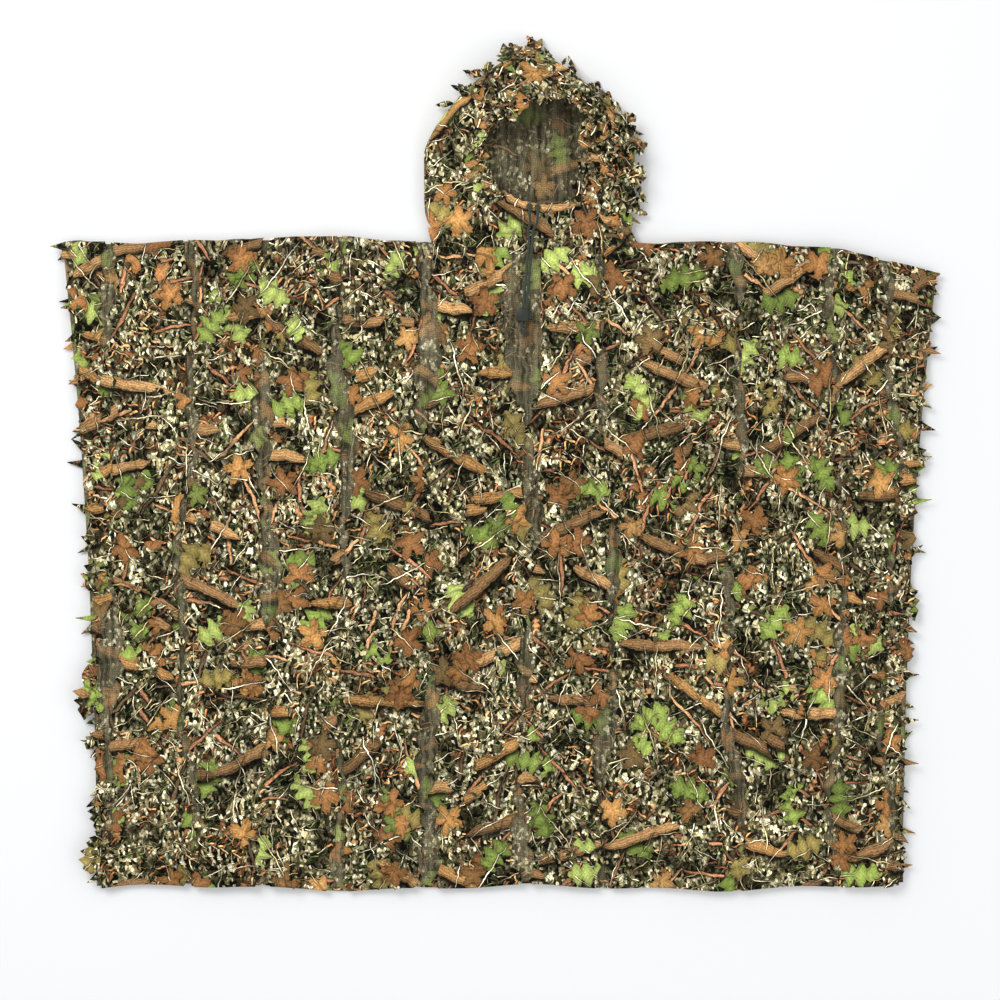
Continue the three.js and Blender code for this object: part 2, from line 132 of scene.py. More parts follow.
def finish_material(name, colour, roughness, bump=None, bump_height=0.0002, **surface):
    """Ends the material being built: one Principled surface with its colour, and its relief in metres."""
    normal = node("Bump", Height=bump, Distance=bump_height, Strength=1.0) if bump else None
    shader = node("BsdfPrincipled", Base_Color=colour, Roughness=roughness, **surface)
    if normal:
        tree.links.new(normal.outputs[0], shader.inputs["Normal"])
    ending = node("OutputMaterial")
    tree.links.new(shader.outputs[0], ending.inputs["Surface"])


def new_material(name):
    """Starts a material and makes its tree the one being built."""
    global tree
    made = bpy.data.materials.new(name)
    made.use_nodes = True
    tree = made.node_tree
    tree.nodes.clear()
    return made


pale_floor = new_material("painted_floor")
finish_material("painted_floor", linear("#fbfbfb"), 0.9)
bpy.ops.object.select_all(action="DESELECT")
bpy.ops.mesh.primitive_plane_add(size=12)
floor = bpy.context.object
floor.name = "studio_floor"
floor.data.materials.append(pale_floor)

# Drawcord: braided nylon, 4 mm thick and limp. Its two free ends leave the eyelets at the chin,
# bend over the rim casing, cross the throat and run side by side down the chest to the lock and knot.
cord_radius = 2.0
cord_middle_z = 25.8
lock_place = np.array((36.0, 232.0, cord_middle_z))
lean = math.radians(5)
lean_along = np.array((math.sin(lean), math.cos(lean), 0.0))
lean_across = np.array((math.cos(lean), -math.sin(lean), 0.0))
hinge_y = 340.0
eyelet_places = {"left": (44.0, 393.3, 34.6), "right": (56.0, 391.5, 34.5)}


def smooth_path(points, step):
    """A smooth line through the points, with a point about every step."""
    points = np.array(points, float)
    ends = np.vstack([2 * points[0] - points[1], points, 2 * points[-1] - points[-2]])
    line = []
    for a, b, c, d in zip(ends, ends[1:], ends[2:], ends[3:]):
        count = max(1, round(np.linalg.norm(c - b) / step))
        for t in np.arange(count) / count:
            line.append(0.5 * (2 * b + (c - a) * t + (2 * a - 5 * b + 4 * c - d) * t ** 2
                               + (3 * b - a - 3 * c + d) * t ** 3))
    line.append(points[-1])
    return np.array(line)


def make_mesh(name, verts, faces, uvs, material, thick=0.0):
    """A mesh object from points and UVs in millimetres; thick gives the cloth its thickness."""
    mesh = bpy.data.meshes.new(name)
    mesh.from_pydata((np.array(verts, float) * MM).tolist(), [], faces)
    layer = mesh.uv_layers.new(name="cloth")
    loops = np.zeros(len(mesh.loops), np.int32)
    mesh.loops.foreach_get("vertex_index", loops)
    layer.data.foreach_set("uv", (np.array(uvs, float)[loops] * MM).astype(np.float32).ravel())
    mesh.materials.append(material)
    piece = bpy.data.objects.new(name, mesh)
    scene.collection.objects.link(piece)
    bpy.ops.object.select_all(action="DESELECT")
    bpy.context.view_layer.objects.active = piece
    piece.select_set(True)
    if thick:
        wall = piece.modifiers.new("thickness", "SOLIDIFY")
        wall.thickness = thick * MM
        wall.offset = 0
        bpy.ops.object.modifier_apply(modifier="thickness")
    mesh.polygons.foreach_set("use_smooth", np.ones(len(mesh.polygons), bool))
    return piece


def tube_mesh(name, line, radius, sides, material, swell=lambda turn, share: 1.0):
    """A closed tube along a line. Its UVs run round it and along it."""
    line = np.array(line, float)
    ahead = np.gradient(line, axis=0)
    ahead /= np.linalg.norm(ahead, axis=1)[:, None]
    side = np.cross(ahead[0], (0.0, 0.0, 1.0))
    verts, uvs, faces = [], [], []
    along = np.concatenate([[0], np.cumsum(np.linalg.norm(np.diff(line, axis=0), axis=1))])
    for i, (middle, front) in enumerate(zip(line, ahead)):
        side = side - front * np.dot(side, front)
        side /= np.linalg.norm(side)
        up = np.cross(side, front)
        for k in range(sides):
            turn = 2 * math.pi * k / sides
            reach = radius * swell(turn, i / (len(line) - 1))
            verts.append(middle + reach * (math.cos(turn) * side + math.sin(turn) * up))
            uvs.append((radius * turn, along[i]))
    for i in range(len(line) - 1):
        for k in range(sides):
            n = (k + 1) % sides
            a, b = i * sides + k, i * sides + n
            faces.append((a, b, b + sides, a + sides))
    faces.append(tuple(range(sides))[::-1])
    faces.append(tuple(range((len(line) - 1) * sides, len(line) * sides)))
    faces = [face[::-1] for face in faces]
    return make_mesh(name, verts, faces, uvs, material)


# Braided nylon sheath: dark olive, a dull sheen, crossing yarns about 1.4 mm wide, with painted shade in the
# grooves between them.
braided_nylon = new_material("braided_nylon_cord")
cord_uv = node("UVMap", uv_map="cloth")
cord_mm = node("VectorMath SCALE", cord_uv, Scale=1000.0)
cord_parts = node("SeparateXYZ", cord_mm)
yarn_ways = []
for way in (1.0, -1.0):
    slope = node("Math MULTIPLY", cord_parts.outputs["X"], way)
    phase = node("Math ADD", slope, cord_parts.outputs["Y"])
    wave = node("Math SINE", node("Math MULTIPLY", phase, 2 * math.pi / 2.1))
    yarn_ways.append(node("Math MULTIPLY_ADD", wave, 0.5, 0.5))
yarn = node("Math MULTIPLY", *yarn_ways)
# Painted shade: the colour follows the yarn relief, dark in the grooves and light on the yarn tops.
yarn_tone_with_groove_shade = node("Mix", yarn, linear("#20281a"), linear("#56634a"))
finish_material("braided_nylon_cord", yarn_tone_with_groove_shade, 0.7, yarn, 0.0004, Sheen_Weight=0.2)

chest_end = {}
for side_name, sign in (("left", -1), ("right", 1)):
    ex, ey, ez = eyelet_places[side_name]
    hinge_x = lock_place[0] + (hinge_y - lock_place[1]) * math.tan(lean) + sign * 2.5
    route = [(ex, ey, ez - 2), (ex, ey, ez + 1.6), (ex, ey - 2.3, ez + 7.2), (ex, ey - 6.3, ez + 9.2)]
    route += [(ex, ey - 11.5, ez + 8.6), (ex - 0.8 * sign, hinge_y + 29, cord_middle_z + 10)]
    route += [(hinge_x + 1.2 * sign, hinge_y + 18, cord_middle_z + 4)]
    route += [(hinge_x + 0.3 * sign, hinge_y + 8, cord_middle_z + 0.6), (hinge_x, hinge_y, cord_middle_z)]
    for drop in (90, 72, 54, 36, 18, 0, -10, -18):
        place = lock_place + lean_along * drop + lean_across * 2.5 * sign
        route.append(tuple(place))
    line = smooth_path(route, 2.0)
    chest_end[side_name] = line[-1]
    cord_piece = tube_mesh(f"drawcord_{side_name}", line, cord_radius, 12, braided_nylon)
    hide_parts(f"drawcord_rise_{side_name}", f"drawcord_run_{side_name}")
    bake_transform(cord_piece)

# Knot: the two cord ends are tied together in one overhand knot just below the lock.
knot_middle = lock_place - lean_along * 24
knot_line = []
for i in range(97):
    turn = 2 * math.pi * i / 97
    knot_line.append(knot_middle + np.array((
        1.35 * (math.sin(turn) + 2 * math.sin(2 * turn)),
        1.35 * (math.cos(turn) - 2 * math.cos(2 * turn)),
        -1.6 * math.sin(3 * turn))))
knot_piece = tube_mesh("drawcord_knot", knot_line, cord_radius * 0.9, 10, braided_nylon)
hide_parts("drawcord_end_knot")
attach(knot_piece, "torso")

# Cord lock: a moulded body with a sprung plunger, both pierced for the two cords. Satin black-green
# plastic with softened edges; the bevels catch a thin light.
moulded_plastic = new_material("moulded_nylon_plastic")
plastic_place = node("TexCoord")
plastic_grain = node("TexNoise", plastic_place.outputs["Object"], Scale=900.0, Detail=3.0)
plastic_tone = node("Mix", plastic_grain, linear("#171a14"), linear("#2c3026"))
finish_material("moulded_nylon_plastic", plastic_tone, 0.42, plastic_grain, 0.00008)


def softened_copy(cad_name, piece_name, bevel, material):
    """A copy of a CAD solid with merged points and rounded edges."""
    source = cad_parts[cad_name]
    piece = source.copy()
    piece.data = source.data.copy()
    piece.name = piece_name
    for key in list(piece.keys()):
        del piece[key]
    piece.parent = None
    piece.matrix_world = source.matrix_world.copy()
    scene.collection.objects.link(piece)
    bpy.ops.object.select_all(action="DESELECT")
    bpy.context.view_layer.objects.active = piece
    piece.select_set(True)
    bpy.ops.object.mode_set(mode="EDIT")
    bpy.ops.mesh.select_all(action="SELECT")
    bpy.ops.mesh.remove_doubles(threshold=1e-5)
    bpy.ops.mesh.dissolve_limited(angle_limit=math.radians(2))
    bpy.ops.object.mode_set(mode="OBJECT")
    edge = piece.modifiers.new("edges", "BEVEL")
    edge.width = bevel * MM
    edge.segments = 2
    edge.limit_method = "ANGLE"
    edge.angle_limit = math.radians(35)
    bpy.ops.object.modifier_apply(modifier="edges")
    bpy.ops.object.shade_smooth_by_angle(angle=math.radians(40))
    piece.data.materials.clear()
    piece.data.materials.append(material)
    return piece


for cad_name, piece_name, bevel in (
    ("cord_lock_body", "lock_barrel", 0.7),
    ("cord_lock_plunger", "lock_plunger", 0.45),
):
    lock_piece = softened_copy(cad_name, piece_name, bevel, moulded_plastic)
    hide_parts(cad_name)
    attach(lock_piece, "cord_lock" if cad_name == "cord_lock_body" else "cord_lock_plunger")

# Small metal: oxidised brass eyelets, a drawn steel spring that the plunger presses together, and the
# cord inside the casing.
oxidised_brass = new_material("oxidised_brass")
brass_place = node("TexCoord")
brass_wear = node("TexNoise", brass_place.outputs["Object"], Scale=700.0, Detail=4.0)
brass_tone = node("Mix", brass_wear, linear("#3b382c"), linear("#6f6a50"))
finish_material("oxidised_brass", brass_tone, 0.4, Metallic=1.0)
drawn_steel = new_material("drawn_steel")
steel_place = node("TexCoord")
steel_lines = node("TexNoise", steel_place.outputs["Object"], Scale=1200.0, Detail=2.0)
steel_tone = node("Mix", steel_lines, linear("#8d8d8b"), linear("#b9b9b6"))
finish_material("drawn_steel", steel_tone, 0.28, Metallic=1.0)
lock_spring = softened_copy("cord_lock_spring", "lock_spring", 0.1, drawn_steel)
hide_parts("cord_lock_spring")
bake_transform(lock_spring)

for cad_name, cad_material in (
    ("cord_eyelet_left", oxidised_brass),
    ("cord_eyelet_right", oxidised_brass),
    ("hood_drawcord_in_casing", braided_nylon),
):
    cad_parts[cad_name].data.materials.clear()
    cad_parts[cad_name].data.materials.append(cad_material)

# Camouflage print: woven polyester, matt, printed edge to edge with a forest floor of litter, grass,
# sticks, rust and green leaves and pale twigs, all with the dark shadows of a real undergrowth.
# The cloth's UVs are its flat places in metres, so every motif keeps its real size on it.


def scattered(p, cell, shift, chance, turn):
    """One motif to a cell: its own turned coordinates in millimetres, a random number, and whether it
    is there."""
    moved = node("VectorMath ADD", p, shift)
    cells = node("TexVoronoi", moved, voronoi_dimensions="2D", Scale=1 / cell, Randomness=0.85)
    away = node("VectorMath SUBTRACT", moved, cells.outputs["Position"])
    luck = node("SeparateColor", cells.outputs["Color"])
    turned = node("VectorRotate", away, rotation_type="Z_AXIS",
                  Angle=node("Math MULTIPLY_ADD", luck.outputs["Red"], turn, -turn / 2))
    parts = node("SeparateXYZ", turned)
    there = node("Math LESS_THAN", luck.outputs["Green"], chance)
    return parts.outputs["X"], parts.outputs["Y"], luck.outputs["Blue"], there


def oak_leaf(u, v, long, wide):
    """How far a point lies inside a leaf with round lobes, in millimetres."""
    share = node("Math DIVIDE", u, long)
    taper = node("Math SQRT", node("Math SUBTRACT", 1.0, node("Math MULTIPLY", share, share), use_clamp=True))
    lobes = node("Math MULTIPLY_ADD", node("Math COSINE", node("Math MULTIPLY", u, 11.5 / long)), 0.3, 0.7)
    half = node("Math MULTIPLY", node("Math MULTIPLY", taper, lobes), wide)
    return node("Math SUBTRACT", half, node("Math ABSOLUTE", v))


def maple_leaf(u, v, long, wide):
    """The same for a leaf with five points."""
    far = node("Math SQRT", node("Math MULTIPLY_ADD", u, u, node("Math MULTIPLY", v, v)))
    turn = node("Math ARCTAN2", v, u)
    points = node("Math ABSOLUTE", node("Math COSINE", node("Math MULTIPLY", turn, 2.5)))
    reach = node("Math MULTIPLY_ADD", node("Math POWER", points, 1.25), 0.52 * long, 0.46 * long)
    teeth = node("Math SINE", node("Math MULTIPLY", turn, 23.0))
    toothed = node("Math MULTIPLY_ADD", teeth, 0.05 * wide, reach)
    return node("Math SUBTRACT", toothed, far)


def stick(u, v, long, wide):
    """The same for a bent stick that narrows to its ends."""
    bend = node("Math MULTIPLY", node("Math SINE", node("Math DIVIDE", u, long * 0.32)), wide * 0.9 + 1.2)
    share = node("Math DIVIDE", u, long)
    taper = node("Math SUBTRACT", 1.0, node("Math MULTIPLY", share, share))
    half = node("Math MULTIPLY", taper, wide)
    return node("Math SUBTRACT", half, node("Math ABSOLUTE", node("Math SUBTRACT", v, bend)))


def branch(u, v, long, wide):
    """The same for a nearly straight length of branch with broken ends."""
    bend = node("Math MULTIPLY", node("Math SINE", node("Math DIVIDE", u, long * 0.4)), wide * 0.28)
    share = node("Math POWER", node("Math ABSOLUTE", node("Math DIVIDE", u, long)), 7.0)
    half = node("Math MULTIPLY", node("Math SUBTRACT", 1.0, share), wide)
    return node("Math SUBTRACT", half, node("Math ABSOLUTE", node("Math SUBTRACT", v, bend)))


# Each layer: shape, cell, shift, chance, half length, half width, colours, how deep its shadow is, how far
# its pieces turn, and where it grows: 0 everywhere, 1 or -1 in patches of its own.
grass = ("#33401f", "#4f6134", "#6f7f48", "#3d4c2a")
dry = ("#7d4f2a", "#b07a45", "#5f3d22", "#cfa36c")
cream = ("#e8dec0", "#cfc19a", "#b3a57c", "#f3ead2")
print_layers = [
    (stick, 15, (3, 7, 0), 0.7, 12, 0.9, grass, 0.5, 6.3, 0),
    (stick, 25, (41, 11, 0), 0.75, 24, 0.8, ("#d9cba2", "#8c8260", "#52663c", "#ece2c2"), 0.6, 6.3, 0),
    (oak_leaf, 34, (17, 83, 0), 0.5, 14, 6.5, ("#6b4c2c", "#97683a", "#b98a56", "#54442c"), 0.6, 6.3, 1),
    (stick, 14, (91, 57, 0), 0.85, 12, 1.9, dry, 0.7, 2.2, 1),
    (stick, 13, (33, 157, 0), 0.85, 15, 1.0, grass, 0.7, 1.4, -1),
    (stick, 78, (129, 5, 0), 0.75, 58, 2.8, ("#8a6244", "#a57350", "#5f4c38", "#b78a60"), 0.9, 6.3, 0),
    (oak_leaf, 84, (211, 149, 0), 0.55, 31, 22, ("#78883f", "#8c9c4c", "#a3b060", "#8f8048"), 0.8, 6.3, 0),
    (branch, 138, (77, 190, 0), 0.85, 62, 8.5, ("#8c6c46", "#a68254", "#94703f", "#755a3a"), 0.92, 1.5, 0),
    (maple_leaf, 78, (61, 37, 0), 0.4, 25, 25, ("#8e6438", "#a3743e", "#b08446", "#7a6440"), 0.8, 6.3, 0),
    (maple_leaf, 104, (163, 20, 0), 0.4, 21, 21, ("#9b6f3a", "#788444", "#b0874f", "#846238"), 0.8, 6.3, 0),
    (stick, 36, (9, 131, 0), 0.7, 34, 0.75, cream, 0.6, 6.3, 0),
    (stick, 95, (57, 71, 0), 0.7, 56, 1.1, cream, 0.7, 6.3, 0),
]


def forest_print(fineness):
    """The colour of the printed cloth. fineness 1 is crisp; less leaves motifs soft."""
    flat = node("VectorMath SCALE", node("UVMap", uv_map="cloth"), Scale=1000.0)
    wobble = node("TexNoise", flat, noise_dimensions="2D", Scale=0.045, Detail=2.0)
    pushed = node("VectorMath SUBTRACT", wobble.outputs["Color"], (0.5, 0.5, 0.5))
    p = node("VectorMath ADD", flat, node("VectorMath SCALE", pushed, Scale=9.0))
    grain = node("TexNoise", p, noise_dimensions="2D", Scale=0.35, Detail=4.0, Roughness=0.7)
    speck = node("Math MULTIPLY_ADD", grain, 1.5, 0.25)
    squeezed = node("Mapping", p, Rotation=(0, 0, 0.7), Scale=(0.25, 0.165, 1))
    chips = node("TexVoronoi", squeezed, voronoi_dimensions="2D", Scale=1.0)
    cracks = node("TexVoronoi", squeezed, voronoi_dimensions="2D", feature="DISTANCE_TO_EDGE", Scale=1.0)
    chip_luck = node("SeparateColor", chips.outputs["Color"])
    litter = node("ValToRGB", chip_luck.outputs["Red"], between="CONSTANT", stops=[
        (0.0, "#17150e"), (0.17, "#37331f"), (0.3, "#5d563c"), (0.44, "#857b58"), (0.57, "#aca07a"),
        (0.71, "#d1c6a0"), (0.85, "#e6dfc6")])
    patches = node("TexNoise", flat, noise_dimensions="2D", Scale=0.021, Detail=3.0)
    patchy = node("ValToRGB", patches, stops=[(0.36, "#5f5b50"), (0.56, "#ffffff")])
    litter = node("Mix", 1.0, litter, patchy, blend_type="MULTIPLY")
    open_crack = node("Math MULTIPLY", cracks, 9.0, use_clamp=True)
    colour = node("Mix", open_crack, linear("#14130c"), litter)
    growth = node("TexNoise", node("VectorMath ADD", flat, (500, 90, 0)), noise_dimensions="2D", Scale=0.014)
    for shape, cell, shift, chance, long, wide, colours, depth, turn, where in print_layers:
        u, v, luck, there = scattered(p, cell, shift, chance, turn)
        if where:
            grows = node("Math GREATER_THAN" if where > 0 else "Math LESS_THAN", growth, 0.5 + 0.045 * where)
            there = node("Math MULTIPLY", there, grows)
        inside = shape(u, v, long, wide)
        if shape is branch:
            cast = node("Math MULTIPLY_ADD", shape(u, node("Math ADD", v, 0.7 * wide), long, wide), 0.16, 0.5)
        else:
            cast = node("Math MULTIPLY_ADD", inside, 1 / (2.2 + (0.3 * wide if shape is stick else 0)), 1.0)
        shadow = node("Math MULTIPLY", node("Math MULTIPLY", cast, 1.0, use_clamp=True), there)
        colour = node("Mix", node("Math MULTIPLY", shadow, depth), colour, linear("#100e09"))
        tone = node("ValToRGB", luck, between="CONSTANT", stops=[
            (0.0, colours[0]), (0.3, colours[1]), (0.55, colours[2]), (0.8, colours[3])])
        light = node("Math MULTIPLY_ADD", inside, 0.55 / wide, 0.6)
        woody = shape in (stick, branch)
        if woody:
            light = node("Math MULTIPLY_ADD", v, 0.22 / wide, light)
            vein = node("Math SINE", node("Math MULTIPLY_ADD", v, 1.7, node("Math MULTIPLY", grain, 11.0)))
        else:
            vein = node("Math SINE", node("Math MULTIPLY_ADD", node("Math ABSOLUTE", v), 0.9,
                                          node("Math MULTIPLY", u, 1.1)))
        lit = node("Math MULTIPLY", node("Math MULTIPLY_ADD", vein, 0.34 if woody else 0.1, light), speck)
        painted = node("Mix", 1.0, tone, lit, blend_type="MULTIPLY")
        cover = node("Math MULTIPLY", node("Math MULTIPLY", inside, fineness, use_clamp=True), there)
        colour = node("Mix", cover, colour, painted)
    broad = node("TexNoise", flat, noise_dimensions="2D", Scale=0.009, Detail=2.0)
    shade = node("Math MULTIPLY_ADD", broad, 1.1, 0.48)
    shaded = node("Mix", 1.0, colour, shade, blend_type="MULTIPLY")
    deeper = node("Gamma", shaded, Gamma=1.16)
    warmed = node("VectorMath MULTIPLY", deeper, (1.84, 1.81, 1.62))
    return node("HueSaturation", Color=warmed, Saturation=0.92), p, grain


leaf_cloth = new_material("printed_woven_polyester")
print_colour, _, print_grain = forest_print(1.4)
finish_material("printed_woven_polyester", print_colour, 0.9, print_grain, 0.0004, Specular_IOR_Level=0.12)

# Open mesh: the same print on a knitted net, where it looks washed out, with rows of small holes
# drawn 3 mm apart, about twice the real pitch, so that they show. The holes are dark dots of painted
# shade, for the dim layer seen through them.
mesh_cloth = new_material("printed_knitted_mesh")
soft_print, mesh_place, _ = forest_print(0.5)
streaked = node("Mapping", mesh_place, Scale=(0.16, 0.012, 1))
streaks = node("TexNoise", streaked, noise_dimensions="2D", Scale=1.0, Detail=3.0)
slack_tone = node("ValToRGB", streaks, stops=[(0.34, "#4e4936"), (0.64, "#9d9476")])
muted = node("Mix", 0.5, soft_print, slack_tone)
hole_rows = node("TexVoronoi", mesh_place, voronoi_dimensions="2D", Scale=1 / 3.0, Randomness=0.12)
# Painted shade: each hole of the knit is darkened towards its middle.
hole_painted_shade = node("ValToRGB", hole_rows, stops=[(0.16, "#3a3a2c"), (0.42, "#ffffff")])
net = node("Mix", 0.45, muted, hole_painted_shade, blend_type="MULTIPLY")
finish_material("printed_knitted_mesh", net, 0.93, hole_rows, 0.0003, Specular_IOR_Level=0.12)

# Mesh panels: one sheet of knitted mesh a side, from the front hem over the shoulder edge to the back hem.
# It lies in slack folds, drops at its free edges and is left open at the neck.
hem_half = 603.0
front_left_low = np.array(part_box("front_panel_left")[0]) / MM
center_low, center_high = (np.array(c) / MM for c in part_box("front_panel_center"))
back_low = np.array(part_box("back_panel_center")[0]) / MM
turn_low, turn_high = (np.array(c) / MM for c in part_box("shoulder_fold_left"))
band_low, band_high = (np.array(c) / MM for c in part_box("neck_band_front"))
hem_y = center_low[1]
panel_top_y = turn_low[1]
shoulder_y = turn_high[1]
shoulder_half = -front_left_low[0]
fold_x = center_high[0]
front_z = center_high[2]
back_z = back_low[2]
neck_low_x, neck_high_x = band_low[0], band_high[0]
channel_low_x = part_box("front_leaf_strip_06")[1][0] / MM
channel_high_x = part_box("front_leaf_strip_07")[0][0] / MM
channel_low_y = min(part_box("cord_lock_plunger")[0][1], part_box("drawcord_end_knot")[0][1]) / MM - 80
sheet_step = 8.0

# Slack folds of the laid cloth: direction in degrees, wavelength, height and phase.
slack_folds = [(4, 235, 2.4, 0.4), (-14, 141, 1.4, 1.7), (38, 330, 1.6, 2.1), (96, 270, 1.0, 0.3),
               (118, 156, 0.7, 4.0), (27, 83, 0.5, 1.0), (-41, 64, 0.35, 2.7)]


def slack(x, y):
    """How far the laid cloth stands above or below its middle level."""
    height = 0.0
    for way, length, size, phase in slack_folds:
        across = x * math.cos(math.radians(way)) + y * math.sin(math.radians(way))
        height = height + size * np.sin(2 * math.pi * across / length + phase)
    return height


def side_edge(y):
    """Half the panel's width at a height."""
    rise = np.clip((y - hem_y) / (shoulder_y - hem_y), 0, 1)
    return hem_half + (shoulder_half - hem_half) * rise ** 2


def front_level(x, y):
    """The height of the front mesh: it drops where its free edges lie on the back, and lies flat under
    the drawcord and its lock."""
    channel_x = (channel_low_x + channel_high_x) / 2
    beside = np.maximum(np.abs(x - channel_x) - (channel_high_x - channel_low_x) / 2, 0)
    below = np.maximum(channel_low_y - y, 0)
    calm = np.clip((beside + below) / 60, 0, 1)
    to_edge = np.minimum(side_edge(y) - np.abs(x), y - hem_y)
    drop = 8.0 * (1 - np.clip(to_edge / 70, 0, 1)) ** 2
    return np.maximum(front_z - 1 + slack(x, y) * calm - drop, back_z + 3.5)


def back_level(x, y):
    return back_z + 0.8 + 0.12 * slack(x, y)


def settle(x, y):
    """How the laid cloth lies off its pattern: the right shoulder sags, and the hem wanders."""
    share = np.clip((y - hem_y) / (shoulder_y - hem_y), 0, 1)
    sag = 44 * np.clip((x - 395) / 260, 0, 1) ** 1.5 * share ** 3
    hem = (4.5 + 3.5 * np.sin(x / 83 + 1) + 2.2 * np.sin(x / 31)) * (1 - share) ** 6
    top = (3.0 * np.sin(x / 118 + 2) + 1.6 * np.sin(x / 41)) * share ** 8 * (np.abs(x - 44) > 160)
    full = 9 * np.exp(-((x + 290) / 130) ** 2) * share ** 8
    return y - sag + hem - np.abs(top) + full


def grid_faces(rows, columns, skip=lambda i, j: False):
    return [(i * columns + j, i * columns + j + 1, (i + 1) * columns + j + 1, (i + 1) * columns + j)
            for i in range(rows - 1) for j in range(columns - 1) if not skip(i, j)]


# A side fold lies between these two distances from the middle line, in metres; a strip that reaches into it is
# not attached to any body.
fold_band = (0.32, 0.385)
for side_name, sign in (("left", -1), ("right", 1)):
    columns = int(shoulder_half / sheet_step) + 1
    run = np.linspace(hem_y, panel_top_y, int((panel_top_y - hem_y) / sheet_step) + 1)
    turns = np.linspace(0, math.pi, 9)[1:-1]
    turn_depth = shoulder_y - panel_top_y
    verts, uvs = [], []
    places = [(y, "front", 0.0) for y in run] + [(0, "turn", t) for t in turns]
    places += [(y, "back", 0.0) for y in run[::-1]]
    flat_y = hem_y
    for i, (y, part, t) in enumerate(places):
        y_here = panel_top_y + turn_depth * math.sin(t) if part == "turn" else y
        x = np.linspace(0, 1, columns) * side_edge(min(y_here, panel_top_y)) * sign
        if part == "turn":
            top, under = front_level(x, panel_top_y), back_level(x, panel_top_y)
            z = (top + under) / 2 + (top - under) / 2 * math.cos(t)
            y_line = y_here + 1.6 * np.sin(x / 37.0) + 1.1 * np.sin(x / 13.0)
        else:
            z = front_level(x, y_here) if part == "front" else back_level(x, y_here)
            y_line = np.full(columns, y_here)
        if i:
            flat_y += 4.0 if part == "turn" else sheet_step
        verts.append(np.stack([x, settle(x, y_line), z], 1))
        uvs.append(np.stack([x, np.full(columns, flat_y)], 1))
    verts, uvs = np.concatenate(verts), np.concatenate(uvs)
    middle = verts[:columns]
    first_turn, last_turn = len(run) - 1, len(run) + len(turns)

    def in_neck(i, j):
        x = sign * shoulder_half * (j + 0.5) / (columns - 1)
        return first_turn <= i < last_turn and neck_low_x < x < neck_high_x

    faces = grid_faces(len(places), columns, in_neck)
    if sign < 0:
        faces = [face[::-1] for face in faces]
    piece = make_mesh(f"mesh_sheet_{side_name}", verts, faces, uvs, mesh_cloth, 0.9)
    names = [f"front_panel_{side_name}", f"back_panel_{side_name}", f"shoulder_fold_{side_name}",
             f"shoulder_fold_{side_name}_wing"]
    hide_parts(*names, *(["front_panel_center", "back_panel_center"] if sign < 0 else []))
    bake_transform(piece)

# Leaf-cut strips: the printed cloth is cut along both edges into leaf tips and pierced all over with
# leaf-shaped tongues that curl up. Each strip is sewn down its middle, so its edges lift.
row_step = 5.0
column_step = 6.5
oak_outline = (0.20, 0.62, 0.40, 0.95, 0.55, 1.0, 0.55, 0.62, 0.05)
maple_outline = (0.14, 0.48, 1.0, 0.52, 0.84, 0.40, 0.52, 0.24, 0.02)
blade_outline = (0.25, 0.6, 0.85, 1.0, 0.95, 0.8, 0.6, 0.35, 0.02)
tongue_columns = (-1.0, -0.5, 0.0, 0.5, 1.0)


def leaf_edge(rows, deepest, draw):
    """Leaf tips down one cut edge: how far it stands out at each height."""
    reach = np.zeros(len(rows))
    at = rows[0]
    while at < rows[-1]:
        length = draw.uniform(20, 62)
        depth = draw.uniform(0.3, 1.0) * deepest
        peak = draw.uniform(0.2, 0.5)
        share = (rows - at) / length
        inside = (share >= 0) & (share < 1)
        rise = np.where(share < peak, share / peak, (1 - share) / (1 - peak))
        reach[inside] = depth * np.clip(rise[inside], 0, 1) ** 1.6
        at += length
    return reach


def add_tongue(verts, uvs, faces, root, way, long, wide, level, lift, curl, outline, shift):
    """One leaf-shaped tongue of cloth, free but for its root."""
    start = len(verts)
    ahead = np.array((math.cos(way), math.sin(way)))
    across = np.array((-ahead[1], ahead[0]))
    for i, half in enumerate(outline):
        share = i / (len(outline) - 1)
        for c in tongue_columns:
            place = root + ahead * long * share + across * c * half * wide / 2
            height = level(place[0], place[1]) + lift * share ** 1.3 - curl * (c * half) ** 2 * (0.3 + share)
            height += 0.8 * math.sin(9 * share + 2 * c)
            verts.append((place[0], place[1], height))
            uvs.append((place[0] + shift[0], place[1] + shift[1]))
    count = len(tongue_columns)
    for face in grid_faces(len(outline), count):
        faces.append(tuple(start + k for k in face)[::-1])


spike_outline = (0.5, 0.8, 1.0, 0.9, 0.75, 0.55, 0.38, 0.2, 0.02)


